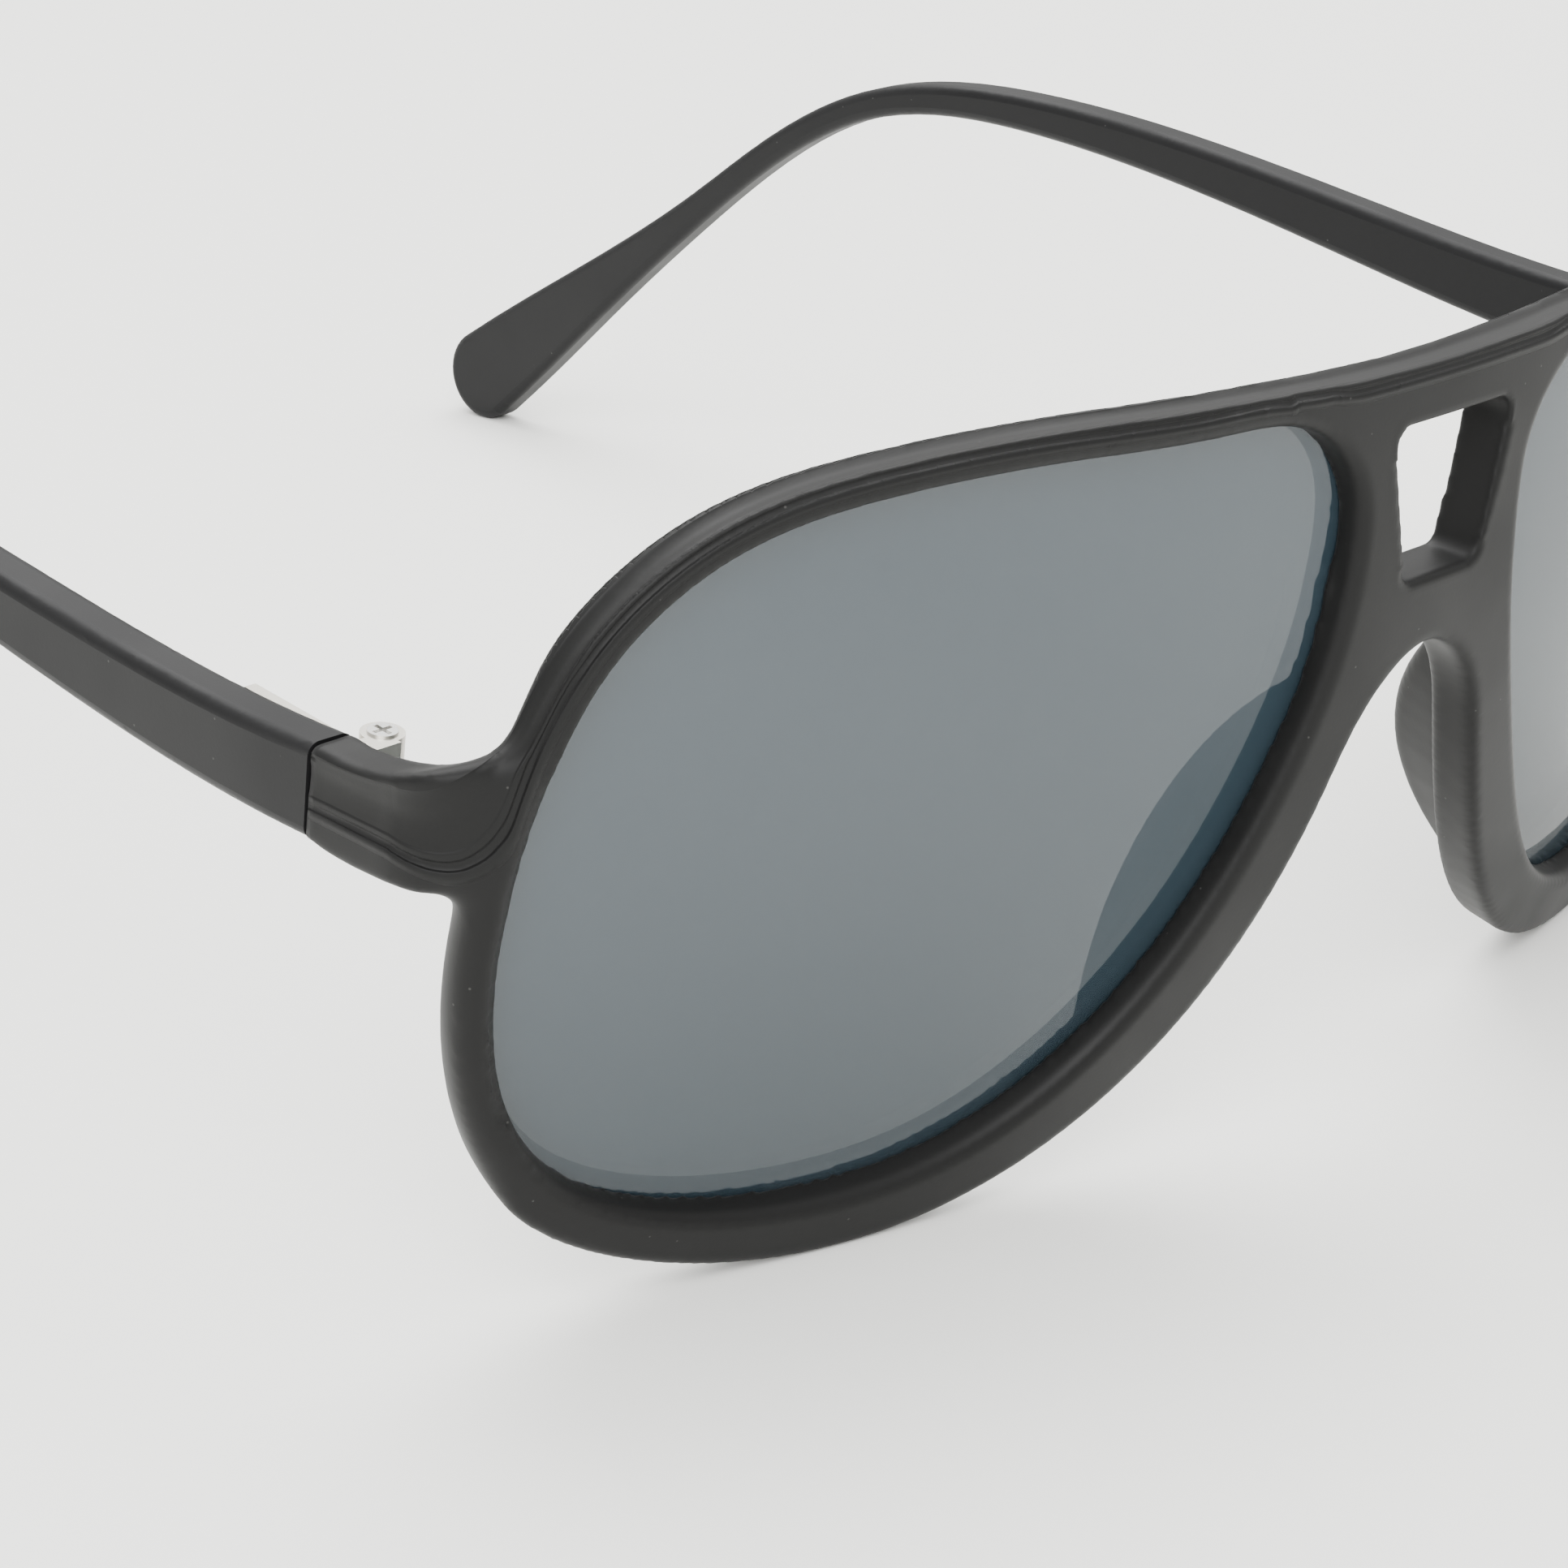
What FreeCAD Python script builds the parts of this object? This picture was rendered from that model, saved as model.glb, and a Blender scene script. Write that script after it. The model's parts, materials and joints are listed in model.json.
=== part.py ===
import FreeCAD, Part
import math
import re
import os

from FreeCAD import Placement, Rotation, Vector

# Aviator sunglasses, millimetres.  Every piece is drawn in the wearer's frame: +X to one side,
# +Y from the front towards the ears, +Z up, with Y = 0 at the foremost point of the front and
# Z = 0 under the rims.  At the end the whole object is tipped back until the rims and the
# temple tips stand on one level, with the origin in the middle of that footprint.

SIZES = [
    # front
    ("lens_width", 55.9), ("lens_height", 47.5), ("lens_gap", 16.9), ("lens_bottom", 4.3),
    ("wrap_radius", 162.0), ("face_radius", 135.0), ("face_apex", 35.0), ("front_thickness", 3.6),
    ("front_edge_radius", 0.7), ("brow_rise", 1.4), ("brow_crown", 0.35),
    ("brow_height", "=lens_bottom + lens_height + brow_rise"), ("bridge_share", 0.63368),
    ("arch_height", "=lens_bottom + bridge_share * lens_height"), ("arch_shoulder", 4.9),
    ("arch_drop", 3.0), ("upper_bar", 3.7), ("lower_bar", 4.8),
    ("hole_top", "=brow_height - upper_bar"), ("hole_bottom", "=arch_height + lower_bar"),
    ("hole_top_width", 12.0), ("hole_bottom_width", 7.4), ("hole_corner", 1.1),
    # lenses
    ("lens_setback", 2.2), ("lens_thickness", 1.6), ("lens_overlap", 0.8), ("lens_clearance", 0.05),
    # lugs
    ("lug_outset", 4.15), ("lug_half_width", "=lens_gap / 2 + lens_width + lug_outset"),
    ("lug_thickness", 3.2), ("lug_corner", 6.0), ("lug_height", 5.9), ("lug_flare_top", 6.3),
    ("lug_flare_bottom", 2.6), ("flare_back", 1.0), ("flare_near", 2.0), ("flare_far", 7.0),
    ("lug_edge_radius", 0.6), ("lug_sink", 0.3), ("lug_root", 0.86), ("lug_run", 6.2052),
    ("bend_reach", "=wrap_radius - lug_sink - lug_corner"),
    ("bend_depth", "=wrap_radius - sqrt(bend_reach ^ 2 - (lug_half_width - lug_corner) ^ 2)"),
    ("seam_depth", "=bend_depth + lug_run"), ("seam_gap", 0.12),
    # nose pads
    ("pad_thickness", 2.3), ("pad_depth", 9.8), ("pad_drop", 0.4),
    ("pad_top", "=arch_height - pad_drop"), ("pad_top_shift", 2.9), ("pad_bottom", 5.0),
    ("pad_splay", 0.24), ("pad_edge_radius", 0.8), ("pad_inset", 1.0),
    # temples
    ("temple_thickness", 3.2), ("temple_height", 5.9), ("temple_share", 0.6),
    ("temple_level", "=lens_bottom + temple_share * lens_height"),
    ("temple_waist", 2.5), ("tip_height", 8.6), ("temple_straight", 64.3), ("bend_radius", 44.8),
    ("bend_angle", 43.2), ("tip_length", 52.0), ("temple_edge_radius", 0.8), ("toe_in", 0.75),
    # steel core of each temple
    ("core_diameter", 1.2), ("core_start", 16.0), ("core_end_margin", 9.0),
    # hinges
    ("hinge_offset", 2.1), ("barrel_radius", 1.3), ("knuckle_height", 1.5), ("knuckle_gap", 0.08),
    ("bore_clearance", 0.05), ("web_length", 1.6), ("web_clearance", 0.1),
    ("leaf_thickness", 0.8), ("leaf_recess", 0.35), ("leaf_height", 4.2),
    ("front_leaf_length", 5.2), ("temple_leaf_length", 9.0), ("leaf_end_gap", 0.15),
    ("screw_radius", 0.5), ("screw_head_radius", 0.9), ("screw_head_height", 0.45),
    ("screw_head_proud", 0.15), ("slot_width", 0.3), ("slot_depth", 0.25), ("slot_margin", 0.25),
    ("fixing_radius", 0.45), ("fixing_length", 1.9), ("fixing_head_radius", 0.72),
    ("fixing_head_height", 0.3), ("fixing_first", 1.6), ("fixing_pitch", 2.0),
    ("temple_fixing_pitch", 4.4),
    # how far cutting tools run past what they cut
    ("overrun", 1.0),
]

# Lens opening, from the nose edge over the brow and round: share of its width, share of its
# height, and the rim's width beyond that point.
LENS_OUTLINE = [
    (0.000, 0.790, 4.5), (0.008, 0.885, 4.5), (0.070, 0.968, 3.0), (0.230, 0.995, 2.1),
    (0.420, 1.000, 2.1), (0.620, 0.990, 2.0), (0.800, 0.937, 2.1), (0.920, 0.815, 2.2),
    (0.980, 0.640, 2.3), (1.000, 0.440, 2.4), (0.975, 0.255, 2.5), (0.900, 0.115, 3.0),
    (0.760, 0.028, 3.6), (0.600, 0.000, 4.2), (0.440, 0.022, 4.6), (0.282, 0.126, 5.2),
    (0.160, 0.290, 5.4), (0.065, 0.500, 5.0), (0.015, 0.670, 4.5),
]
FIRST_RIM_POINT = 3      # the brow leaves the lens outline here
LAST_RIM_POINT = 17      # and the arch of the bridge starts here
LUG_UPPER = (0.12, 0.3, 0.8, 1.4)       # shares of a lug's flare, from its bend to its root
LUG_LOWER = (1.4, 1.0, 0.15)            # and back again underneath
# Shares of a length and of the height's change along it, for each stretch of a temple.
STRAIGHT_SHARES = ((0.0, 0.0), (0.5, 0.4), (1.0, 0.8))
BEND_SHARES = ((0.6, 1.0), (1.0, 1.0))
BLADE_SHARES = ((0.22, 0.06), (0.54, 0.44), (0.72, 0.74))
REACH = 200.0            # longer than anything, for cutting tools
SLAB_MARGIN = 1.1        # width of the curved slab over the width of the front
STEEPEST = 0.95          # sine of the slab's largest half angle
PAD_RUN = 1.5            # length of a pad before its rear is trimmed, over its depth
TOLERANCE = 0.01
MAX_LEAN = 20.0
LEAN_STEP = 0.0001
MESH_STEP = 0.1
SIDES = (("right", 1), ("left", -1))


def make_sheet(doc):
    sheet = doc.addObject("Spreadsheet::Sheet", "sizes")
    for row, (alias, value) in enumerate(SIZES, start=1):
        sheet.set("A%d" % row, alias)
        sheet.set("B%d" % row, str(value))
        sheet.setAlias("B%d" % row, alias)
    doc.recompute()
    return sheet


doc = FreeCAD.newDocument("sunglasses")
sheet = make_sheet(doc)


def size(alias):
    return float(sheet.get(alias))


# ---------------------------------------------------------------- curves


def smooth_closed(points, spacing=None):
    """Periodic curve through points, with its last point joined to its first.

    The points of spacing set how fast the curve runs from point to point: by default its own.
    """
    shares = [0]
    guide = list(spacing or points)
    for start, end in zip(guide, guide[1:] + guide[:1]):
        shares.append(shares[-1] + start.distanceToPoint(end))
    curve = Part.BSplineCurve()
    curve.interpolate(Points=points, Parameters=shares, PeriodicFlag=True)
    return curve


def smooth_open(points):
    curve = Part.BSplineCurve()
    curve.interpolate(Points=points)
    return curve


def prism(edges, direction):
    """Solid swept from a closed flat outline along a straight direction."""
    return Part.Face(Part.Wire(edges)).extrude(direction)


def opening_points(side):
    """Points on the edge of one lens opening in the XZ plane."""
    left = size("lens_gap") / 2
    return [
        Vector(side * (left + u * size("lens_width")), 0, size("lens_bottom") + v * size("lens_height"))
        for u, v, rim in LENS_OUTLINE
    ]


def outward_offset(side, distances):
    """Points at the given distances outside a lens opening, one for each of its points."""
    places = opening_points(side)
    curve = smooth_closed(places)
    centre = Vector(side * (size("lens_gap") + size("lens_width")) / 2, 0,
                    size("lens_bottom") + size("lens_height") / 2)
    points = []
    for place, distance in zip(places, distances):
        tangent = Vector(*curve.tangent(curve.parameter(place))[0])
        normal = tangent.cross(Vector(0, 1, 0))
        if normal.dot(place - centre) < 0:
            normal = normal * -1
        points.append(place + normal * distance)
    return points


def square_prism(outline):
    """Solid whose wall stands square to the curved face along a closed outline drawn on it.

    Along the face's normal a point moves towards the wrap axis in X and the face axis in Z, by
    its distances from them over the two radii.
    """
    wrap, face, apex = size("wrap_radius"), size("face_radius"), size("face_apex")

    def section(y):
        moved = []
        for point in outline:
            across, rise = point.x, point.z - apex
            depth = y - across ** 2 / (2 * wrap) - rise ** 2 / (2 * face)
            moved.append(Vector(across * (1 - depth / wrap), y, apex + rise * (1 - depth / face)))
        return Part.Wire(smooth_closed(moved, outline).toShape())

    return Part.makeLoft([section(-size("front_thickness")), section(REACH / 6)], True, True)


def lens_prism(side, grow):
    """Solid on the lens opening, grown by a margin, right through the front."""
    if grow:
        return square_prism(outward_offset(side, [grow] * len(LENS_OUTLINE)))
    return square_prism(opening_points(side))


def rim_outline():
    """Outer outline of the front without its lugs: brow, rims and the arch over the nose."""
    offsets = outward_offset(1, [rim for u, v, rim in LENS_OUTLINE])
    half = offsets[FIRST_RIM_POINT:LAST_RIM_POINT + 1]
    brow = Vector(size("lens_gap"), 0, size("brow_height") + size("brow_crown"))
    shoulder = Vector(size("arch_shoulder"), 0, size("arch_height") - size("arch_drop"))
    right = [brow] + half + [shoulder]
    left = [Vector(-point.x, 0, point.z) for point in reversed(right)]
    top = Vector(0, 0, size("brow_height"))
    arch = Vector(0, 0, size("arch_height"))
    return [top] + right + [arch] + left


def nose_edge_points(inset):
    """Lower nose-side part of the rim outline of the +X side, moved inwards by inset."""
    offsets = outward_offset(1, [rim - inset for u, v, rim in LENS_OUTLINE])
    return offsets[LAST_RIM_POINT - 4:LAST_RIM_POINT + 1]


# ---------------------------------------------------------------- front frame


def face_shell(front, thickness):
    """Doubly curved slab: its front surface lies front behind Y = 0, and it is thickness deep.

    Its horizontal section is bent to the wrap radius and its vertical one to the face radius.
    """
    radius = size("face_radius")
    centre = Vector(0, radius, size("face_apex"))
    half_angle = math.asin(min(STEEPEST, size("lens_height") / radius))
    near = radius - front
    far = near - thickness

    def at(circle_radius, angle):
        return centre + Vector(0, -math.cos(angle), math.sin(angle)) * circle_radius

    edges = [
        Part.Arc(at(near, -half_angle), at(near, 0), at(near, half_angle)).toShape(),
        Part.makeLine(at(near, half_angle), at(far, half_angle)),
        Part.Arc(at(far, half_angle), at(far, 0), at(far, -half_angle)).toShape(),
        Part.makeLine(at(far, -half_angle), at(near, -half_angle)),
    ]
    profile = Part.Face(Part.Wire(edges))
    half_width = SLAB_MARGIN * size("lug_half_width")
    half_sweep = math.degrees(math.asin(min(STEEPEST, half_width / size("wrap_radius"))))
    axis_point = Vector(0, size("wrap_radius"), 0)
    profile.rotate(axis_point, Vector(0, 0, 1), -half_sweep)
    return profile.revolve(axis_point, Vector(0, 0, 1), 2 * half_sweep)


def bridge_hole():
    """Prism of the hole between the two bridge bars, wider at the top, with round corners."""
    top, bottom = size("hole_top"), size("hole_bottom")
    upper, lower = size("hole_top_width") / 2, size("hole_bottom_width") / 2
    points = [Vector(-lower, 0, bottom), Vector(lower, 0, bottom), Vector(upper, 0, top),
              Vector(-upper, 0, top), Vector(-lower, 0, bottom)]
    solid = Part.Face(Part.makePolygon(points)).extrude(Vector(0, REACH, 0))
    solid.translate(Vector(0, -REACH / 2, 0))
    corners = [edge for edge in solid.Edges if abs(edge.Length - REACH) < TOLERANCE]
    return solid.makeFillet(size("hole_corner"), corners)


def lug_solid(side):
    """End piece: the front turned back along the temple's line, flared where it leaves the rim."""
    wrap, corner = size("wrap_radius"), size("lug_corner")
    half, depth = size("lug_half_width"), size("seam_depth")
    wall = size("lug_thickness")
    outer = wrap - size("lug_sink")
    corner_y = size("bend_depth")
    centre = Vector(half - corner, corner_y, 0)
    inward = Vector(0, wrap, 0) - centre
    inward.normalize()
    touch = centre - inward * corner
    middle = math.atan2(-inward.y, -inward.x) / 2

    def on_corner(radius):
        return centre + Vector(math.cos(middle), math.sin(middle), 0) * radius

    def on_wrap(radius, share):
        angle = share * math.asin((half - corner) / (outer - corner))
        return Vector(math.sin(angle) * radius, wrap - math.cos(angle) * radius, 0)

    root = size("lug_root")
    edges = [
        Part.Arc(on_wrap(outer, root), on_wrap(outer, (1 + root) / 2), touch).toShape(),
        Part.Arc(touch, on_corner(corner), Vector(half, corner_y, 0)).toShape(),
        Part.makeLine(Vector(half, corner_y, 0), Vector(half, depth, 0)),
        Part.makeLine(Vector(half, depth, 0), Vector(half - wall, depth, 0)),
        Part.makeLine(Vector(half - wall, depth, 0), Vector(half - wall, corner_y, 0)),
        Part.Arc(Vector(half - wall, corner_y, 0), on_corner(corner - wall),
                 touch + inward * wall).toShape(),
        Part.Arc(touch + inward * wall, on_wrap(outer - wall, (1 + root) / 2),
                 on_wrap(outer - wall, root)).toShape(),
        Part.makeLine(on_wrap(outer - wall, root), on_wrap(outer, root)),
    ]
    band = Part.Face(Part.Wire(edges)).extrude(Vector(0, 0, REACH))
    level, rise = size("temple_level"), size("lug_height") / 2
    flare_up, flare_down = size("lug_flare_top"), size("lug_flare_bottom")
    near, far = touch.y - size("flare_near"), touch.y - size("flare_far")
    above = (corner_y, (touch.y + corner_y) / 2, near, far)
    below = (far, near, touch.y + size("flare_back"))
    top = smooth_open(
        [Vector(0, depth, level + rise)]
        + [Vector(0, y, level + rise + share * flare_up) for y, share in zip(above, LUG_UPPER)])
    bottom = smooth_open(
        [Vector(0, y, level - rise - share * flare_down) for y, share in zip(below, LUG_LOWER)]
        + [Vector(0, corner_y, level - rise), Vector(0, depth, level - rise)])
    outline = prism([
        top.toShape(),
        Part.makeLine(top.EndPoint, bottom.StartPoint),
        bottom.toShape(),
        Part.makeLine(bottom.EndPoint, top.StartPoint),
    ], Vector(REACH, 0, 0))
    solid = band.common(outline)
    long_edges = [
        edge for edge in solid.Edges
        if edge.BoundBox.YMax > depth - TOLERANCE and edge.BoundBox.YLength > wall / 2
    ]
    solid = solid.makeFillet(size("lug_edge_radius"), long_edges)
    if side < 0:
        solid = solid.mirror(Vector(0, 0, 0), Vector(1, 0, 0))
    return solid


def nose_pad(side):
    """Fin behind the nose side of a rim: it spreads outwards and its rear edge is an arc."""
    inset, thickness = size("pad_inset"), size("pad_thickness")
    top = Vector(size("arch_shoulder") + size("pad_top_shift"), 0, size("pad_top"))
    nose = smooth_open(nose_edge_points(inset) + [top])
    lens = smooth_open([top + Vector(thickness, 0, 0)]
                       + list(reversed(nose_edge_points(inset + thickness))))
    splay = Vector(size("pad_splay") * size("pad_depth"), size("pad_depth"), 0)
    fin = prism([
        nose.toShape(),
        Part.makeLine(nose.EndPoint, lens.StartPoint),
        lens.toShape(),
        Part.makeLine(lens.EndPoint, nose.StartPoint),
    ], splay * PAD_RUN)
    fin.translate(Vector(0, size("lens_setback"), 0))
    chord = (size("pad_top") - size("pad_bottom")) / 2
    sagitta = size("pad_depth") - size("front_thickness") + size("overrun")
    radius = (chord ** 2 + sagitta ** 2) / (2 * sagitta)
    centre = Vector(-REACH / 2, size("pad_depth") - radius, size("pad_bottom") + chord)
    rear = Part.makeCylinder(radius, REACH, centre, Vector(1, 0, 0))
    fin = fin.common(rear).common(face_shell(size("lens_setback") / 2, REACH / 4))
    rear_edges = [
        edge for edge in fin.Edges
        if edge.BoundBox.YMax > size("front_thickness") and edge.BoundBox.ZLength > chord
    ]
    fin = fin.makeFillet(size("pad_edge_radius"), rear_edges)
    if side < 0:
        fin = fin.mirror(Vector(0, 0, 0), Vector(1, 0, 0))
    return fin


def hinge_axis(side):
    """Point on a hinge's axis, level with the middle of the lug."""
    return Vector(side * (size("lug_half_width") - size("temple_thickness") - size("hinge_offset")),
                  size("seam_depth") + size("seam_gap") / 2, size("temple_level"))


# ---------------------------------------------------------------- bound primitives
# A box or cylinder on the -X side is the mirror image of the one that its expressions describe.


def refer(text):
    """Put the sheet's name in front of every alias in an expression."""
    return re.sub("[a-z][a-z_]+", lambda alias: "sizes." + alias.group(), text)


def add_box(name, side, start, extent):
    """Box from its low corner and its extents, each an expression in the sheet's aliases."""
    box = doc.addObject("Part::Box", name)
    x = start[0] if side > 0 else "-(%s) - (%s)" % (start[0], extent[0])
    for axis, text in zip("xyz", (x, start[1], start[2])):
        box.setExpression("Placement.Base." + axis, refer(text))
    for sort, text in zip(("Length", "Width", "Height"), extent):
        box.setExpression(sort, refer(text))
    return box


def add_cylinder(name, side, base, radius, height, turn=0):
    """Cylinder from the centre of its base; turn is 90 to lay it outwards along X."""
    cylinder = doc.addObject("Part::Cylinder", name)
    cylinder.Placement = Placement(Vector(0, 0, 0), Rotation(Vector(0, 1, 0), side * turn))
    x = base[0] if side > 0 else "-(%s)" % base[0]
    for axis, text in zip("xyz", (x, base[1], base[2])):
        cylinder.setExpression("Placement.Base." + axis, refer(text))
    cylinder.setExpression("Radius", refer(radius))
    cylinder.setExpression("Height", refer(height))
    return cylinder


def add_fuse(name, pieces):
    fuse = doc.addObject("Part::MultiFuse", name)
    fuse.Shapes = pieces
    return fuse


def add_cut(name, base, tools):
    """The base less its tools."""
    cut = doc.addObject("Part::Cut", name)
    cut.Base = base
    cut.Tool = tools[0] if len(tools) == 1 else add_fuse(name + "_tools", tools)
    return cut


AXIS_X = "(lug_half_width - temple_thickness - hinge_offset)"
AXIS_Y = "(seam_depth + seam_gap / 2)"
BARREL = "(3 * knuckle_height + 2 * knuckle_gap)"
BARREL_BOTTOM = "(temple_level - %s / 2)" % BARREL
INNER_WALL = "(lug_half_width - temple_thickness)"
LEAF_X = "(lug_half_width - temple_thickness + leaf_recess - leaf_thickness)"
LEAF_Z = "(temple_level - leaf_height / 2)"
FRONT_LEAF_END = "(seam_depth - leaf_end_gap - front_leaf_length)"
TEMPLE_LEAF_END = "(seam_depth + seam_gap + leaf_end_gap)"


def knuckle_level(number):
    """Height of the bottom of a knuckle, counted from the lowest."""
    return "(%s + %d * (knuckle_height + knuckle_gap))" % (BARREL_BOTTOM, number)


def fixing_places(leaf):
    """Distances along Y of a leaf's two fixing screws, as expressions."""
    if leaf == "front":
        return ["(seam_depth - fixing_first)", "(seam_depth - fixing_first - fixing_pitch)"]
    return ["(seam_depth + seam_gap + fixing_first)",
            "(seam_depth + seam_gap + fixing_first + temple_fixing_pitch)"]


def fixing_screw(name, side, place):
    """Small screw driven outwards through a leaf: its flat head is sunk in the leaf."""
    head = add_cylinder(name + "_head", side, (LEAF_X, place, "temple_level"),
                        "fixing_head_radius", "fixing_head_height", 90)
    shank = add_cylinder(name + "_shank", side, (LEAF_X, place, "temple_level"),
                         "fixing_radius", "fixing_length", 90)
    return add_fuse(name, [head, shank])


def hinge_leaf(name, side, leaf):
    """Plate let into the plastic with its knuckles: two on the front, one on the temple."""
    if leaf == "front":
        length, end, knuckles = "front_leaf_length", FRONT_LEAF_END, (0, 2)
        web_y, bore = "(%s - web_length)" % AXIS_Y, "screw_radius"
    else:
        length, end, knuckles = "temple_leaf_length", TEMPLE_LEAF_END, (1,)
        web_y, bore = AXIS_Y, "screw_radius + bore_clearance"
    plate = add_box(name + "_plate", side, (LEAF_X, end, LEAF_Z),
                    ("leaf_thickness", length, "leaf_height"))
    solids, bores = [plate], []
    for number in knuckles:
        level = knuckle_level(number)
        tag = "%s_%d" % (name, number)
        solids.append(add_cylinder(tag + "_knuckle", side, (AXIS_X, AXIS_Y, level),
                                   "barrel_radius", "knuckle_height"))
        solids.append(add_box(tag + "_web", side, (AXIS_X, web_y, level),
                              ("(%s - %s + leaf_thickness / 2)" % (LEAF_X, AXIS_X), "web_length",
                               "knuckle_height")))
    bores.append(add_cylinder(name + "_bore", side, (AXIS_X, AXIS_Y, BARREL_BOTTOM + " - overrun"),
                              bore, BARREL + " + 2 * overrun"))
    if leaf == "front":
        seat = BARREL_BOTTOM + " + " + BARREL + " + screw_head_proud - screw_head_height"
        bores.append(add_cylinder(name + "_head_seat", side, (AXIS_X, AXIS_Y, seat),
                                  "screw_head_radius", "overrun"))
        bores.append(add_cylinder(name + "_room", side,
                                  (AXIS_X, AXIS_Y, knuckle_level(1) + " - knuckle_gap"),
                                  "barrel_radius + web_clearance",
                                  "knuckle_height + 2 * knuckle_gap"))
    for number, place in enumerate(fixing_places(leaf)):
        bores.append(fixing_screw("%s_hole_%d" % (name, number), side, place))
    return add_cut(name, add_fuse(name + "_solid", solids), bores)


def hinge_screw(name, side):
    """Pivot screw: cross-slotted head in the top knuckle, shank down to the lowest one."""
    top = BARREL_BOTTOM + " + " + BARREL + " + screw_head_proud"
    head = add_cylinder(name + "_head", side, (AXIS_X, AXIS_Y, top + " - screw_head_height"),
                        "screw_head_radius", "screw_head_height")
    shank = add_cylinder(name + "_shank", side, (AXIS_X, AXIS_Y, BARREL_BOTTOM), "screw_radius",
                         BARREL)
    slot = "2 * (screw_head_radius - slot_margin)"
    slots = []
    for tag, along, across in (("long", slot, "slot_width"), ("cross", "slot_width", slot)):
        start = ("%s - (%s) / 2" % (AXIS_X, along), "%s - (%s) / 2" % (AXIS_Y, across),
                 top + " - slot_depth")
        slots.append(add_box("%s_%s" % (name, tag), side, start,
                             (along, across, "slot_depth + overrun")))
    return add_cut(name, add_fuse(name + "_solid", [head, shank]), slots)


def leaf_pocket(name, side, leaf):
    """Recess for a leaf in the inner wall of a lug or temple, open towards the seam."""
    if leaf == "front":
        start, length = FRONT_LEAF_END, "front_leaf_length + leaf_end_gap + overrun"
    else:
        start = "(seam_depth - overrun)"
        length = "temple_leaf_length + leaf_end_gap + seam_gap + overrun"
    return add_box(name, side, ("(%s - overrun)" % INNER_WALL, start, LEAF_Z),
                   ("leaf_recess + overrun", length, "leaf_height"))


# ---------------------------------------------------------------- front pieces


def feature(name, shape):
    """Sub-part whose computed shape no sketch or primitive fits."""
    item = doc.addObject("Part::Feature", name)
    item.Shape = shape
    return item


def lug(name, side):
    """Lug with the recess and screw holes of its hinge leaf."""
    tools = [leaf_pocket("lug_pocket_" + name, side, "front")]
    for number, place in enumerate(fixing_places("front")):
        tools.append(fixing_screw("lug_screw_hole_%s_%d" % (name, number), side, place))
    doc.recompute()
    solid = lug_solid(side)
    for tool in tools:
        solid = solid.cut(tool.Shape)
    return solid


def front_frame(name):
    """Moulded front: slab with rounded edges, lugs and pads fused on, openings cut through."""
    slab = face_shell(0, size("front_thickness")).common(square_prism(rim_outline()))
    loops = [edge for edge in slab.Edges if edge.Length > size("lens_width")]
    slab = slab.makeFillet(size("front_edge_radius"), loops)
    for side_name, side in SIDES:
        slab = slab.fuse([lug(side_name, side), nose_pad(side)])
    slab = slab.cut(bridge_hole())
    seat = face_shell(size("lens_setback"), size("pad_depth"))
    groove = size("lens_overlap") + size("lens_clearance")
    for side_name, side in SIDES:
        slab = slab.cut(lens_prism(side, 0))
        slab = slab.cut(lens_prism(side, groove).common(seat))
    return feature(name, slab)


def lens(name, side):
    blank = face_shell(size("lens_setback") + size("lens_clearance"), size("lens_thickness"))
    return feature(name, blank.common(lens_prism(side, size("lens_overlap"))))


# ---------------------------------------------------------------- temples


def temple_line(distance):
    """Point and downward direction angle of a temple's middle line in its own side view.

    The line runs straight back from the seam, turns down round the ear and runs straight on.
    """
    straight, radius = size("temple_straight"), size("bend_radius")
    bend = math.radians(size("bend_angle"))
    angle = min(max((distance - straight) / radius, 0), bend)
    after = max(distance - straight - radius * bend, 0)
    before = min(distance, straight)
    y = before + radius * math.sin(angle) + after * math.cos(angle)
    z = -radius * (1 - math.cos(angle)) - after * math.sin(angle)
    start = Vector(0, size("seam_depth") + size("seam_gap"), size("temple_level"))
    return start + Vector(0, y, z), angle


def bend_length():
    return size("bend_radius") * math.radians(size("bend_angle"))


def temple_length():
    return size("temple_straight") + bend_length() + size("tip_length")


def temple_stations():
    """Distances along a temple and its height there, from the seam to the middle of the tip."""
    straight, bend, blade = size("temple_straight"), bend_length(), size("tip_length")
    high, waist, tip = size("temple_height"), size("temple_waist"), size("tip_height")
    stations = [(along * straight, high + change * (waist - high))
                for along, change in STRAIGHT_SHARES]
    stations += [(straight + along * bend, high + change * (waist - high))
                 for along, change in BEND_SHARES]
    stations += [(straight + bend + along * blade, waist + change * (tip - waist))
                 for along, change in BLADE_SHARES]
    return stations + [(temple_length() - tip / 2, tip)]


def temple_outline():
    """Upper edge, round tip, lower edge and front end of a temple, in the YZ plane."""
    upper, lower = [], []
    for distance, height in temple_stations():
        middle, angle = temple_line(distance)
        normal = Vector(0, math.sin(angle), math.cos(angle))
        upper.append(middle + normal * (height / 2))
        lower.append(middle - normal * (height / 2))
    tip, angle = temple_line(temple_length())
    top, bottom = smooth_open(upper), smooth_open(list(reversed(lower)))
    return [top, Part.Arc(upper[-1], tip, lower[-1]), bottom, Part.LineSegment(lower[0], upper[0])]


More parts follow.
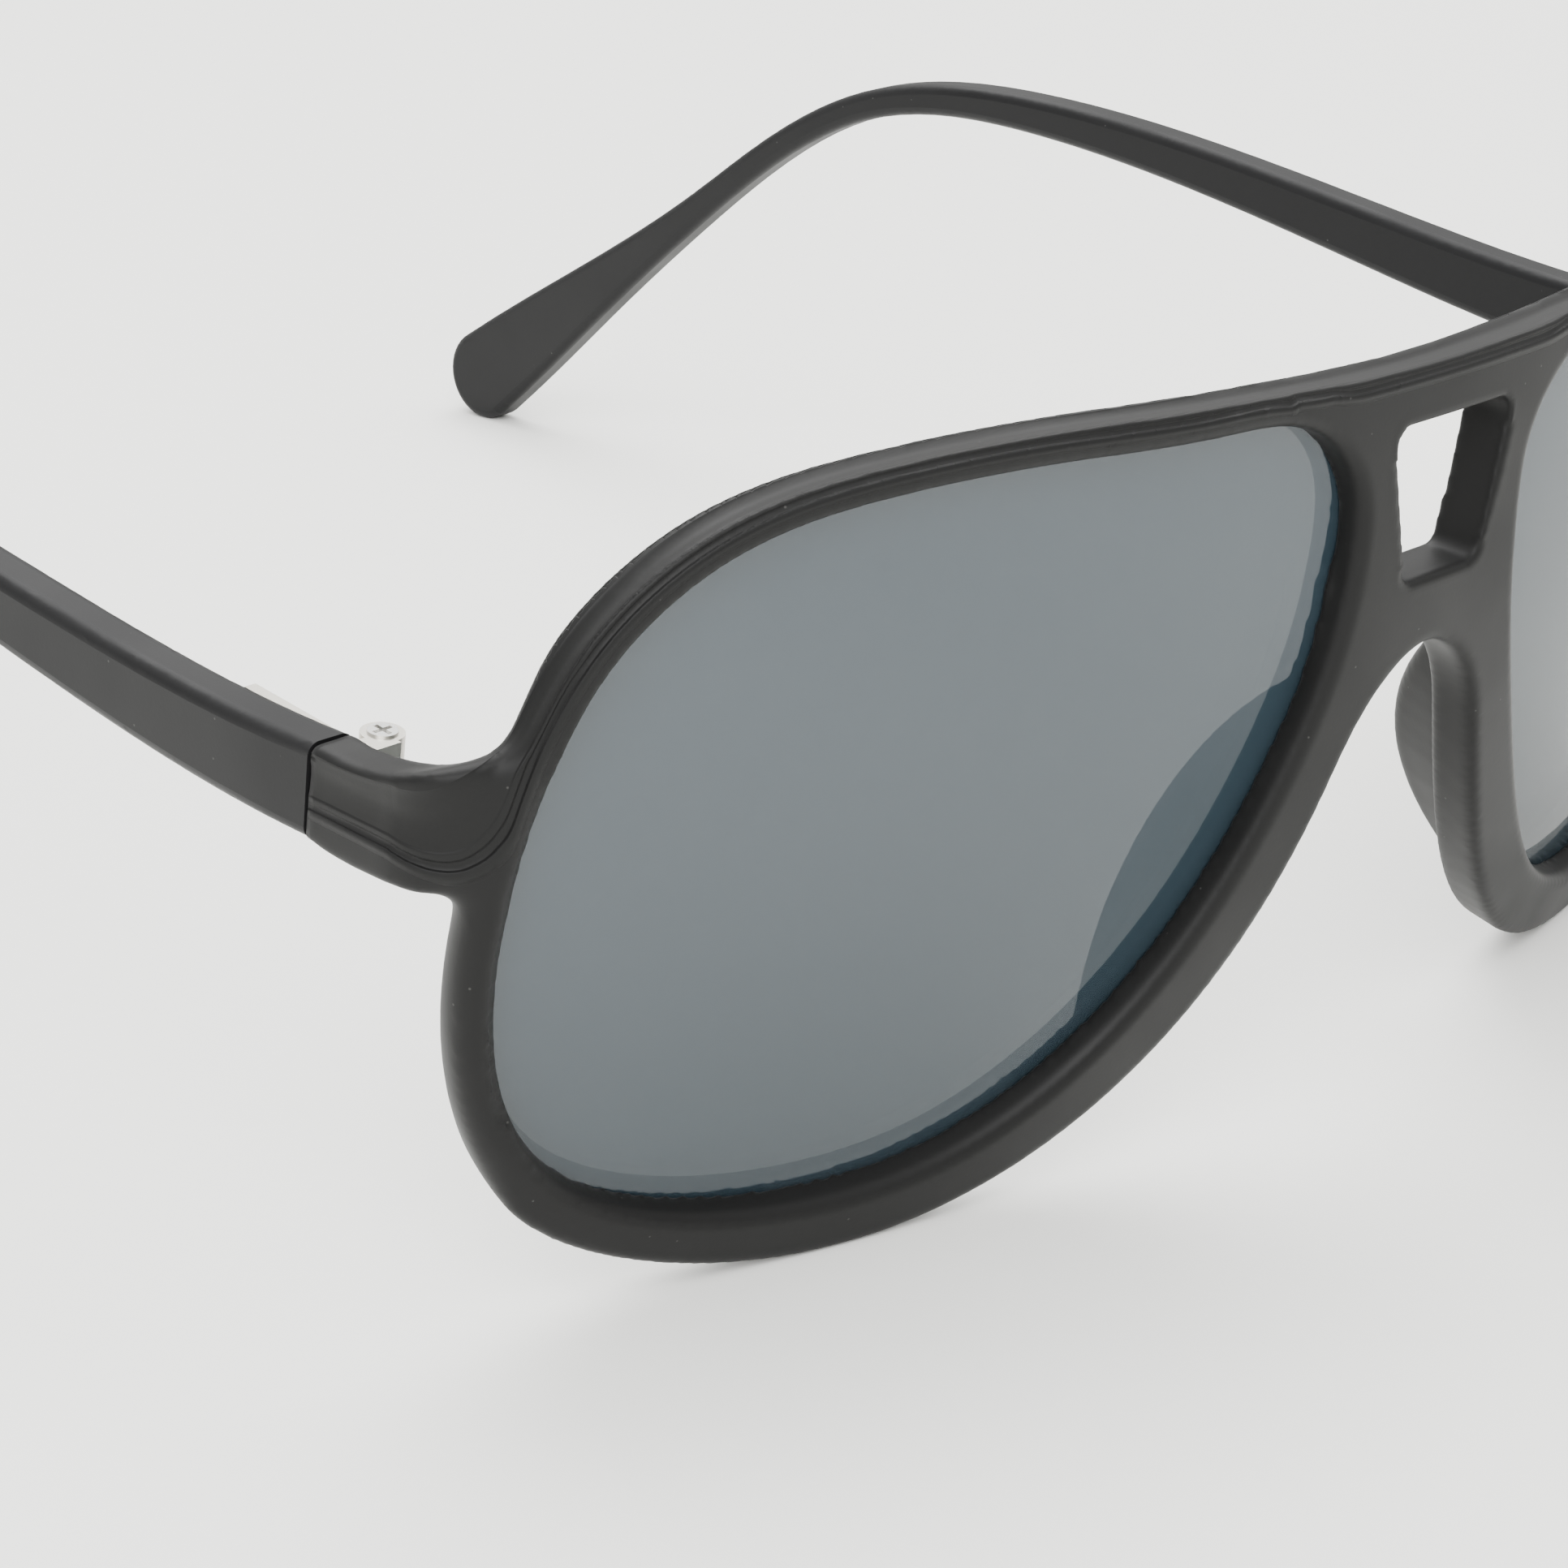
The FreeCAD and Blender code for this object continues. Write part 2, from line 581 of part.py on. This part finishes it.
def core_wire(side, radius):
    """Round wire bent along the middle line of a temple, between its two end margins."""
    x = side * (size("lug_half_width") - size("temple_thickness") / 2)
    stops = (size("core_start"), size("temple_straight"),
             size("temple_straight") + bend_length() / 2,
             size("temple_straight") + bend_length(),
             temple_length() - size("core_end_margin"))
    start, first, middle, last, end = [temple_line(stop)[0] + Vector(x, 0, 0) for stop in stops]
    path = Part.Wire([Part.makeLine(start, first), Part.Arc(first, middle, last).toShape(),
                      Part.makeLine(last, end)])
    ring = Part.Wire(Part.makeCircle(radius, start, Vector(0, 1, 0)))
    return path.makePipeShell([ring], True, True)


def temple_moulding(name, side):
    """Moulded temple before its pocket is cut: side outline padded and its edges rounded."""
    body = doc.addObject("PartDesign::Body", name + "_moulding")
    plane = next(item for item in body.Origin.OriginFeatures if item.Role == "YZ_Plane")
    sketch = body.newObject("Sketcher::SketchObject", name + "_side")
    sketch.AttachmentSupport = [(plane, "")]
    sketch.MapMode = "FlatFace"
    doc.recompute()
    to_sketch = sketch.Placement.toMatrix().inverse()
    for curve in temple_outline():
        curve.transform(to_sketch)
        sketch.addGeometry(curve, False)
    inner = "sizes.lug_half_width - sizes.temple_thickness"
    sketch.setExpression("AttachmentOffset.Base.z", inner if side > 0 else "-sizes.lug_half_width")
    pad = body.newObject("PartDesign::Pad", name + "_pad")
    pad.Profile = sketch
    pad.setExpression("Length", "sizes.temple_thickness")
    doc.recompute()
    rounded = body.newObject("PartDesign::Fillet", name + "_rounded")
    edges = ["Edge%d" % (index + 1) for index, edge in enumerate(pad.Shape.Edges)
             if edge.Length > 2 * size("temple_height")]
    rounded.Base = (pad, edges)
    rounded.setExpression("Radius", "sizes.temple_edge_radius")
    return body


def temple(name, side):
    tools = [leaf_pocket(name + "_pocket", side, "temple"),
             feature(name + "_core_hole", core_wire(side, size("core_diameter") / 2))]
    for number, place in enumerate(fixing_places("temple")):
        tools.append(fixing_screw("%s_screw_hole_%d" % (name, number), side, place))
    return add_cut(name, temple_moulding(name, side), tools)


# ---------------------------------------------------------------- stand and assembly


def toe_in(side):
    """Temple pieces turned a little inwards about their hinge axis."""
    axis = hinge_axis(side)
    turn = Rotation(Vector(0, 0, 1), side * size("toe_in"))
    return Placement(axis, turn).multiply(Placement(-axis, Rotation()))


def stand(front, tip):
    """Placement that rests the rims and the temple tips on the ground, centred at the origin."""
    front_points, tip_points = [shape.tessellate(MESH_STEP)[0] for shape in (front, tip)]

    def lowest(points, lean):
        return min(lean.multVec(point).z for point in points)

    low, high = 0, MAX_LEAN
    while high - low > LEAN_STEP:
        middle = (low + high) / 2
        lean = Rotation(Vector(1, 0, 0), middle)
        if lowest(tip_points, lean) < lowest(front_points, lean):
            low = middle
        else:
            high = middle
    lean = Rotation(Vector(1, 0, 0), high)
    depths = [lean.multVec(point).y for point in front_points + tip_points]
    return Placement(Vector(0, -(min(depths) + max(depths)) / 2, -lowest(front_points, lean)), lean)


parts = {"front_frame": (front_frame("front_frame"), 0)}
for name, side in SIDES:
    core = feature("temple_core_" + name, core_wire(side, size("core_diameter") / 2))
    parts["lens_" + name] = (lens("lens_" + name, side), 0)
    label = "hinge_front_leaf_" + name
    parts[label] = (hinge_leaf(label, side, "front"), 0)
    parts["hinge_screw_" + name] = (hinge_screw("hinge_screw_" + name, side), 0)
    parts["temple_" + name] = (temple("temple_" + name, side), side)
    parts["temple_core_" + name] = (core, side)
    label = "hinge_temple_leaf_" + name
    parts[label] = (hinge_leaf(label, side, "temple"), side)
    for leaf in ("front", "temple"):
        for number, place in enumerate(fixing_places(leaf), start=1):
            label = "leaf_screw_%s_%s_%d" % (leaf, name, number)
            parts[label] = (fixing_screw(label, side, place), side if leaf == "temple" else 0)
doc.recompute()

tip = parts["temple_right"][0].Shape.copy()
tip.Placement = toe_in(1).multiply(tip.Placement)
rest = stand(parts["front_frame"][0].Shape, tip)
for label, (item, side) in parts.items():
    own = toe_in(side) if side else Placement()
    item.Label = label
    item.Placement = rest.multiply(own).multiply(item.Placement)
doc.recompute()
for item in doc.Objects:
    for state in ("Invalid", "Error"):
        if state in item.State:
            raise RuntimeError("%s is %s" % (item.Name, state))
for label, (item, side) in parts.items():
    if item.Shape.isNull() or not item.Shape.isValid():
        raise RuntimeError(label + " has no valid shape")
os.makedirs("parts", exist_ok=True)
for label, (item, side) in parts.items():
    item.Shape.exportStep("parts/%s.step" % label)
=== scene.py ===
import json
import math

import bmesh
import bpy
import numpy as np
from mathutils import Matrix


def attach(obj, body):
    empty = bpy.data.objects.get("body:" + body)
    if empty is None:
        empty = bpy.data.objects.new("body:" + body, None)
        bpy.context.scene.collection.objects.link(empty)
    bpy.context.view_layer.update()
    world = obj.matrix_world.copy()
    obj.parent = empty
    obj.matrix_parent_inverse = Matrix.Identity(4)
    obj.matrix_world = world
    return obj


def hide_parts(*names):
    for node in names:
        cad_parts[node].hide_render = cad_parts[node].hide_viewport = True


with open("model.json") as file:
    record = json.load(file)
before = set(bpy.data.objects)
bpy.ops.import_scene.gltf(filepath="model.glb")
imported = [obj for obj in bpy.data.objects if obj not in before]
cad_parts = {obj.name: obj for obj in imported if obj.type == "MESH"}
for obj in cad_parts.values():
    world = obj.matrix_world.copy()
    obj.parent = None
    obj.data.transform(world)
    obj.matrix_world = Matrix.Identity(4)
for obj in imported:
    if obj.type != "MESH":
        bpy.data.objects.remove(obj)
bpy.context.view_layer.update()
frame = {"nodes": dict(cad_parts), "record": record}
scene = bpy.context.scene

# ---------------------------------------------------------------- front
# The front is one injection moulding in black nylon with a soft-touch lacquer: full rims, two
# bridge bars with a window between them, end pieces turned back to the hinges, and nose pads.


# The wearer's frame is the one the front is drawn in: X sideways, Y back from the foremost
# point, Z up from under the rims, in millimetres.  The object leans back from it to stand.

wrap_radius, face_radius, face_apex, front_thickness = 162.0, 135.0, 35.0, 3.6
hinge = frame["record"]["behaviour"]["joints"][0]
lean = math.atan2(-hinge["axis"][1], hinge["axis"][2])
turn = np.array([[1, 0, 0],
                 [0, math.cos(lean), -math.sin(lean)],
                 [0, math.sin(lean), math.cos(lean)]])
hinge_place = np.array([63.2, 25.66, 32.8])
shift = 1000 * np.array(hinge["pos_m"]) - turn @ hinge_place


def to_wearer(points):
    return (1000 * points - shift) @ turn


def to_stand(points):
    return (points @ turn.T + shift) / 1000


# Lens opening: share of its width from the nose edge, and share of its height.
opening_shares = np.array([
    (0.000, 0.790), (0.008, 0.885), (0.070, 0.968), (0.230, 0.995), (0.420, 1.000),
    (0.620, 0.990), (0.800, 0.937), (0.920, 0.815), (0.980, 0.640), (1.000, 0.440),
    (0.975, 0.255), (0.900, 0.115), (0.760, 0.028), (0.600, 0.000), (0.440, 0.022),
    (0.282, 0.126), (0.160, 0.290), (0.065, 0.500), (0.015, 0.670)])


def closed_curve(knots, count):
    """Periodic cubic through knots, spaced by chord: the second derivatives solve a ring of
    three-term equations, and each span is the cubic between its two ends."""
    step = np.linalg.norm(np.roll(knots, -1, axis=0) - knots, axis=1)
    before, size = np.roll(step, 1), len(knots)
    ring = np.zeros((size, size))
    here = np.arange(size)
    ring[here, here - 1] = before
    ring[here, here] = 2 * (before + step)
    ring[here, (here + 1) % size] = step
    slope = (np.roll(knots, -1, axis=0) - knots) / step[:, None]
    bend = np.linalg.solve(ring, 6 * (slope - np.roll(slope, 1, axis=0)))
    along = np.linspace(0, step.sum(), count, endpoint=False)
    starts = np.concatenate([[0], np.cumsum(step)])
    span = np.clip(np.searchsorted(starts, along, side="right") - 1, 0, size - 1)
    after = (span + 1) % size
    length = step[span][:, None]
    b = (along - starts[span])[:, None] / length
    a = 1 - b
    return (a * knots[span] + b * knots[after]
            + ((a ** 3 - a) * bend[span] + (b ** 3 - b) * bend[after]) * length ** 2 / 6)


opening = closed_curve(np.array([8.45, 4.3]) + opening_shares * np.array([55.9, 47.5]), 480)


def from_outline(points, outline):
    """Signed distance outside a closed outline, and the outward direction, for flat points."""
    ahead = np.roll(outline, -1, axis=0) - outline
    normal = np.stack([ahead[:, 1], -ahead[:, 0]], axis=1)
    normal /= np.linalg.norm(normal, axis=1)[:, None]
    ahead_x, ahead_y = np.roll(outline, -1, axis=0).T
    area = (outline[:, 0] * ahead_y - ahead_x * outline[:, 1]).sum()
    normal *= math.copysign(1, area)
    distance = np.empty(len(points))
    outward = np.empty((len(points), 2))
    for block in np.array_split(np.arange(len(points)), max(1, len(points) // 4000)):
        gap = points[block, None, :] - outline[None, :, :]
        nearest = (gap ** 2).sum(axis=2).argmin(axis=1)
        offset = points[block] - outline[nearest]
        distance[block] = (offset * normal[nearest]).sum(axis=1)
        outward[block] = normal[nearest]
    return distance, outward


def ring_average(points, edges, share):
    """Each point moved towards the mean of its neighbours, by its own share: p + s * (mean - p)."""
    total = np.zeros_like(points)
    count = np.zeros(len(points))
    for start, end in ((0, 1), (1, 0)):
        for axis in range(3):
            total[:, axis] += np.bincount(edges[:, start], points[edges[:, end], axis], len(points))
        count += np.bincount(edges[:, start], minlength=len(points))
    return points + share[:, None] * (total / count[:, None] - points)


def moulded_copy(node, name, voxel):
    """A CAD node's skin as an even quad mesh: merged, remeshed at the voxel size in metres."""
    mesh = frame["nodes"][node].data.copy()
    welded = bmesh.new()
    welded.from_mesh(mesh)
    bmesh.ops.remove_doubles(welded, verts=welded.verts, dist=1e-6)
    welded.to_mesh(mesh)
    welded.free()
    item = bpy.data.objects.new(name, mesh)
    scene.collection.objects.link(item)
    remesh = item.modifiers.new("even_skin", "REMESH")
    remesh.mode = "VOXEL"
    remesh.voxel_size = voxel
    done = bpy.data.meshes.new_from_object(item.evaluated_get(bpy.context.evaluated_depsgraph_get()))
    item.modifiers.clear()
    item.data = done
    return item


front = moulded_copy("front_frame", "front_moulding", 0.00029)
skin = front.data
count = len(skin.vertices)
place = np.empty(count * 3)
skin.vertices.foreach_get("co", place)
place = to_wearer(place.reshape(-1, 3))
edges = np.empty(len(skin.edges) * 2, dtype=int)
skin.edges.foreach_get("vertices", edges)
edges = edges.reshape(-1, 2)

# The voxel steps are ironed out, and more so where the end pieces leave the rims.
root = np.exp(-(((np.abs(place[:, 0]) - 64.5) / 3.0) ** 2 + ((place[:, 1] - 14.5) / 3.5) ** 2) ** 2)
seam_end = np.where(place[:, 1] > 25.35, 25.6, np.nan)
for turn_number in range(12):
    place = ring_average(place, edges, np.full(count, 0.5))
    place = ring_average(place, edges, np.full(count, -0.51))
for turn_number in range(70):
    place = ring_average(place, edges, 0.6 * root)
place[:, 1] = np.where(np.isnan(seam_end), place[:, 1], seam_end)

# The front edge of each lens opening is rounded: tightly over the brow, broadly by the nose.
flat = np.stack([np.abs(place[:, 0]), place[:, 2]], axis=1)
drop = (place[:, 1] - flat[:, 0] ** 2 / (2 * wrap_radius)
        - (flat[:, 1] - face_apex) ** 2 / (2 * face_radius))
drawn = np.stack([flat[:, 0] / (1 - drop / wrap_radius),
                  face_apex + (flat[:, 1] - face_apex) / (1 - drop / face_radius)], axis=1)
level_radius = wrap_radius - face_radius + np.sqrt(face_radius ** 2 - (flat[:, 1] - face_apex) ** 2)
depth = place[:, 1] - wrap_radius + np.sqrt(level_radius ** 2 - flat[:, 0] ** 2)
outside, outward = from_outline(drawn, opening)
nose_side = np.clip(0.5 - 0.5 * (outward @ np.array([0.8, 0.6])), 0, 1)
radius = 0.5 + 0.5 * nose_side ** 0.7
corner = (np.minimum(outside, depth) < 0.35) & (outside < radius) & (depth < radius) & (outside > -0.4)
corner &= (depth > -0.4) & (drawn[:, 0] < 66)
share = np.clip(0.5 + 0.5 * (outside - depth) / radius, 0, 1) * math.pi / 2
new_outside = radius * (1 - np.cos(share))
new_depth = radius * (1 - np.sin(share))
move = np.where(corner, new_outside - outside, 0)
place[:, 0] += np.sign(place[:, 0]) * move * outward[:, 0]
place[:, 2] += move * outward[:, 1]
place[:, 1] += np.where(corner, new_depth - depth, 0)
wall = (np.abs(outside) < 0.4) & (depth > radius) & (depth < 1.9) & (drawn[:, 0] < 66)
place[:, 0] -= np.sign(place[:, 0]) * np.where(wall, outside, 0) * outward[:, 0]
place[:, 2] -= np.where(wall, outside, 0) * outward[:, 1]
for turn_number in range(3):
    place = ring_average(place, edges, 0.5 * (corner | wall))


def soft_min(first, second, width):
    """Smaller of two values, with the crease between them rounded over a width."""
    blend = np.clip(0.5 + 0.5 * (second - first) / width, 0, 1)
    return second + (first - second) * blend - width * blend * (1 - blend)


# A proud flat follows the lens opening over the brow and turns off along the lower half of the
# end piece.  Past its edge, reach grows over the step, the groove and the top wall.
face_width = 1.25
ledge_line = np.interp(flat[:, 0], [0, 12, 15, 19, 26, 50, 58, 62, 65, 68.5],
                       [52.3, 52.3, 51.6, 44, 30, 24, 24, 28.0, 30.8, 31.2])
ledge_line += np.interp(place[:, 1], [14, 19, 26], [0, 0.9, 0.6]) * (flat[:, 0] > 62)
corner_width = np.interp(flat[:, 0], [40, 60], [2.5, 5.0])
bend_radius, bend_centre = 6.0, np.array([62.5, 19.395])
from_bend = np.stack([flat[:, 0], place[:, 1]], axis=1) - bend_centre
lug_depth = np.where(from_bend[:, 1] < 0, bend_radius - np.linalg.norm(from_bend, axis=1),
                     bend_radius - from_bend[:, 0])
bend_start = np.array([2.408, -5.495])
on_lug = bend_start[0] * from_bend[:, 1] - bend_start[1] * from_bend[:, 0] > 0
below = np.where(on_lug, lug_depth, depth - 0.3)
reach = (soft_min(outside - face_width, place[:, 2] - ledge_line, corner_width)
         + np.clip(below, 0, front_thickness))
end_fade = np.interp(place[:, 1], [20, 25.4], [1, 0.35])
front_side = np.interp(below, [front_thickness * 0.55, front_thickness * 0.8], [1, 0])
sunk = np.interp(reach, [0, 0.3, 0.9, 2.2, 4.5], [0, 0.22, 0.16, 0.3, 0.1]) * end_fade * front_side
skin.vertices.foreach_set("co", to_stand(place).ravel())
skin.update()
normals = np.empty(count * 3)
skin.vertices.foreach_get("normal", normals)
normals = normals.reshape(-1, 3) @ turn
place -= normals * sunk[:, None]
skin.vertices.foreach_set("co", to_stand(place).ravel())
ledge = skin.attributes.new("ledge", "FLOAT", "POINT")
ledge.data.foreach_set("value", np.where(front_side > 0.01, reach, -1.0) * (end_fade > 0))
skin.shade_smooth()
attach(front, "front")
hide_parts("front_frame")


def linear(code):
    """Linear RGBA of an sRGB hex value: c / 12.92 below 0.04045, else ((c + 0.055) / 1.055) ^ 2.4."""
    parts = [int(code[place:place + 2], 16) / 255 for place in (1, 3, 5)]
    return [c / 12.92 if c <= 0.04045 else ((c + 0.055) / 1.055) ** 2.4 for c in parts] + [1.0]


def add(tree, kind, settings=None, links=None):
    """New node of a kind, with values for its sockets or fields and links into its sockets."""
    node = tree.nodes.new(kind)
    for key, value in (settings or {}).items():
        if isinstance(key, str) and hasattr(node, key):
            setattr(node, key, value)
        else:
            node.inputs[key].default_value = value
    for key, source in (links or {}).items():
        tree.links.new(source, node.inputs[key])
    return node


def new_material(name):
    """Empty node material and its tree."""
    material = bpy.data.materials.new(name)
    material.use_nodes = True
    material.node_tree.nodes.clear()
    return material, material.node_tree


def soft_touch_nylon(name, dark, pale, stepped):
    """Soft-touch lacquer on moulded nylon: a dry, near-black skin with a broad dull sheen.

    Fine grain of about 0.15 mm breaks the sheen, slow clouds of handling oil about 12 mm across
    change its gloss, and sparse dust specks of about 0.1 mm sit on it.  A stepped piece also
    has the moulded step, groove and small ridge that run past its proud flat.
    """
    material, tree = new_material(name)
    place = add(tree, "ShaderNodeTexCoord").outputs["Object"]
    grain = add(tree, "ShaderNodeTexNoise", {"Scale": 1 / 0.00022, "Detail": 3.0, "Roughness": 0.6},
                {"Vector": place})
    clouds = add(tree, "ShaderNodeTexNoise", {"Scale": 1 / 0.012, "Detail": 2.0}, {"Vector": place})
    dust = add(tree, "ShaderNodeTexVoronoi", {"Scale": 1 / 0.0021, "Randomness": 1.0},
               {"Vector": place})
    speck = add(tree, "ShaderNodeMapRange",
                {"From Min": 0.045, "From Max": 0.025, "To Min": 0.0, "To Max": 0.12},
                {"Value": dust.outputs["Distance"]})
    tone = add(tree, "ShaderNodeMix", {"data_type": "RGBA", 6: linear(dark), 7: linear(pale)},
               {0: clouds.outputs["Fac"]})
    dusty = add(tree, "ShaderNodeMix", {"data_type": "RGBA", 7: linear("#8A8986")},
                {0: speck.outputs["Result"], 6: tone.outputs[2]})
    gloss = add(tree, "ShaderNodeMapRange",
                {"From Min": 0.35, "From Max": 0.65, "To Min": 0.43, "To Max": 0.53},
                {"Value": clouds.outputs["Fac"]})
    bump = add(tree, "ShaderNodeBump", {"Strength": 0.12, "Distance": 0.00003},
               {"Height": grain.outputs["Fac"]})
    relief = bump.outputs["Normal"]
    if stepped:
        reach = add(tree, "ShaderNodeAttribute", {"attribute_name": "ledge"}).outputs["Fac"]
        way = add(tree, "ShaderNodeMapRange", {"From Min": -0.5, "From Max": 3.5}, {"Value": reach})
        profile = add(tree, "ShaderNodeFloatCurve", links={"Value": way.outputs["Result"]})
        curve = profile.mapping.curves[0]
        for millimetres, height in step_profile:
            curve.points.new((millimetres + 0.5) / 4.0, height)
        profile.mapping.update()
        step = add(tree, "ShaderNodeBump", {"Strength": 1.0, "Distance": 0.00035},
                   {"Height": profile.outputs["Value"], "Normal": relief})
        relief = step.outputs["Normal"]
    skin = add(tree, "ShaderNodeBsdfPrincipled",
               {"IOR": 1.5, "Specular IOR Level": 0.15, "Sheen Weight": 0.02, "Sheen Roughness": 0.5},
               {"Base Color": dusty.outputs[2], "Roughness": gloss.outputs["Result"], "Normal": relief})
    add(tree, "ShaderNodeOutputMaterial", links={"Surface": skin.outputs["BSDF"]})
    return material


def clothe(node, material):
    """Give a CAD node one material in all its slots."""
    mesh = frame["nodes"][node].data
    mesh.materials.clear()
    mesh.materials.append(material)


# Height of the moulded step against millimetres past the edge of the proud flat.
step_profile = [(-0.15, 1.0), (0.02, 0.97), (0.16, 0.35), (0.34, 0.3), (0.55, 0.62), (0.72, 0.66),
                (1.0, 0.36), (1.9, 0.25), (2.9, 0.5)]
front_nylon = soft_touch_nylon("soft_touch_black_nylon_front", "#0E0E0E", "#151515", True)
skin.materials.clear()
skin.materials.append(front_nylon)

# ---------------------------------------------------------------- lenses
# Each lens is a cut from a curved sheet of grey-tinted polycarbonate with a hard coat, pressed
# into the rim from behind.  Its tint is a little darker towards the bottom.

lens_material, tree = new_material("grey_tint_polycarbonate")
place = add(tree, "ShaderNodeTexCoord").outputs["Object"]
height = add(tree, "ShaderNodeSeparateXYZ", links={"Vector": place}).outputs["Z"]
fall = add(tree, "ShaderNodeMapRange", {"From Min": 0.0, "From Max": 0.05}, {"Value": height})
tint = add(tree, "ShaderNodeMix", {"data_type": "RGBA", 6: linear("#28343B"), 7: linear("#2B3840")},
           {0: fall.outputs["Result"]})
smear = add(tree, "ShaderNodeTexNoise", {"Scale": 1 / 0.02, "Detail": 2.0}, {"Vector": place})
wiped = add(tree, "ShaderNodeMapRange", {"To Min": 0.02, "To Max": 0.05},
            {"Value": smear.outputs["Fac"]})
sheet = add(tree, "ShaderNodeBsdfPrincipled",
            {"IOR": 1.58, "Specular IOR Level": 0.2, "Alpha": 0.785},
            {"Base Color": tint.outputs[2], "Roughness": wiped.outputs["Result"]})
add(tree, "ShaderNodeOutputMaterial", links={"Surface": sheet.outputs["BSDF"]})
for side in ("right", "left"):
    clothe("lens_" + side, lens_material)

# ---------------------------------------------------------------- temples
# The temples are moulded in the same black nylon over a wire, straight to the ear and then bent
# down to a flat rounded tip.

temple_nylon = soft_touch_nylon("soft_touch_black_nylon_temple", "#0E0E0F", "#151516", False)
for side in ("right", "left"):
    clothe("temple_" + side, temple_nylon)

# ---------------------------------------------------------------- hinges, wires and screws
# Stamped nickel-silver leaves are let into the plastic and held by two small screws each, and a
# cross-slotted screw is the pivot.


def bright_metal(name, colour, roughness, grit):
    """Small tumbled or turned metal part: bright, with fine scratches as wide as its grit in mm."""
    material, tree = new_material(name)
    place = add(tree, "ShaderNodeTexCoord").outputs["Object"]
    scratch = add(tree, "ShaderNodeTexNoise", {"Scale": 1000 / grit, "Detail": 4.0},
                  {"Vector": place})
    dull = add(tree, "ShaderNodeMapRange", {"To Min": roughness - 0.08, "To Max": roughness + 0.12},
               {"Value": scratch.outputs["Fac"]})
    bump = add(tree, "ShaderNodeBump", {"Strength": 0.25, "Distance": 0.00002},
               {"Height": scratch.outputs["Fac"]})
    metal = add(tree, "ShaderNodeBsdfPrincipled", {"Base Color": linear(colour), "Metallic": 1.0},
                {"Roughness": dull.outputs["Result"], "Normal": bump.outputs["Normal"]})
    add(tree, "ShaderNodeOutputMaterial", links={"Surface": metal.outputs["BSDF"]})
    return material


leaf_metal = bright_metal("tumbled_nickel_silver", "#C9C5BC", 0.3, 0.12)
screw_metal = bright_metal("turned_stainless_steel", "#D2D1CE", 0.22, 0.06)
wire_metal = bright_metal("drawn_nickel_silver_wire", "#BDB9B0", 0.35, 0.1)
for side in ("right", "left"):
    clothe("hinge_front_leaf_" + side, leaf_metal)
    clothe("hinge_temple_leaf_" + side, leaf_metal)
    clothe("hinge_screw_" + side, screw_metal)
    clothe("temple_core_" + side, wire_metal)
    for leaf in ("front", "temple"):
        for number in (1, 2):
            clothe("leaf_screw_%s_%s_%d" % (leaf, side, number), screw_metal)

# ---------------------------------------------------------------- studio
# A pale seamless sweep, soft light from a large overhead bank and fill from all round.

floor_mesh = bpy.data.meshes.new("floor")
reach = 3.0
floor_mesh.from_pydata([(-reach, -reach, 0), (reach, -reach, 0), (reach, reach, 0), (-reach, reach, 0)],
                       [], [(0, 1, 2, 3)])
floor = bpy.data.objects.new("floor", floor_mesh)
scene.collection.objects.link(floor)
paper, tree = new_material("matte_backdrop_paper")
place = add(tree, "ShaderNodeTexCoord").outputs["Object"]
fibre = add(tree, "ShaderNodeTexNoise", {"Scale": 1 / 0.002, "Detail": 2.0}, {"Vector": place})
shade = add(tree, "ShaderNodeMix",
            {"data_type": "RGBA", 6: linear("#EFEFEC"), 7: linear("#F1F1EE")},
            {0: fibre.outputs["Fac"]})
matte = add(tree, "ShaderNodeBsdfPrincipled", {"Roughness": 0.9, "Specular IOR Level": 0.1},
            {"Base Color": shade.outputs[2]})
add(tree, "ShaderNodeOutputMaterial", links={"Surface": matte.outputs["BSDF"]})
floor_mesh.materials.append(paper)

world = bpy.data.worlds.new("studio")
world.use_nodes = True
tree = world.node_tree
direction = add(tree, "ShaderNodeTexCoord").outputs["Generated"]
rise = add(tree, "ShaderNodeSeparateXYZ", links={"Vector": direction}).outputs["Z"]
bright = add(tree, "ShaderNodeMapRange",
             {"From Min": 0.0, "From Max": 0.9, "To Min": 0.5, "To Max": 2.6},
             {"Value": rise})
tree.nodes["Background"].inputs["Color"].default_value = linear("#F6F6F4")
tree.links.new(bright.outputs["Result"], tree.nodes["Background"].inputs["Strength"])
scene.world = world


def soft_box(name, place, target, width, power):
    """Square area light of a width in metres, facing a target."""
    light = bpy.data.lights.new(name, "AREA")
    light.size = width
    light.energy = power
    lamp = bpy.data.objects.new(name, light)
    scene.collection.objects.link(lamp)
    lamp.location = place
    away = np.array(place) - np.array(target)
    flat = math.hypot(away[0], away[1])
    lamp.rotation_euler = (math.atan2(flat, away[2]), 0, math.atan2(away[0], -away[1]))


soft_box("overhead_bank", (0.25, 0.35, 0.9), (0, 0, 0), 0.9, 14.0)
soft_box("front_fill", (-0.6, -0.5, 0.6), (0, 0, 0.02), 0.7, 12.0)

# ---------------------------------------------------------------- camera
# A 98.6 mm lens on a full frame, close in and above, off the left end piece.

camera_data = bpy.data.cameras.new("camera")
camera_data.lens = 98.656
camera_data.sensor_width = 36.0
camera_data.clip_start = 0.01
camera = bpy.data.objects.new("camera", camera_data)
scene.collection.objects.link(camera)
camera.location = (-0.20827, -0.22780, 0.12095)
camera.rotation_euler = [math.radians(angle) for angle in (68.686, -0.814, -45.598)]
scene.camera = camera
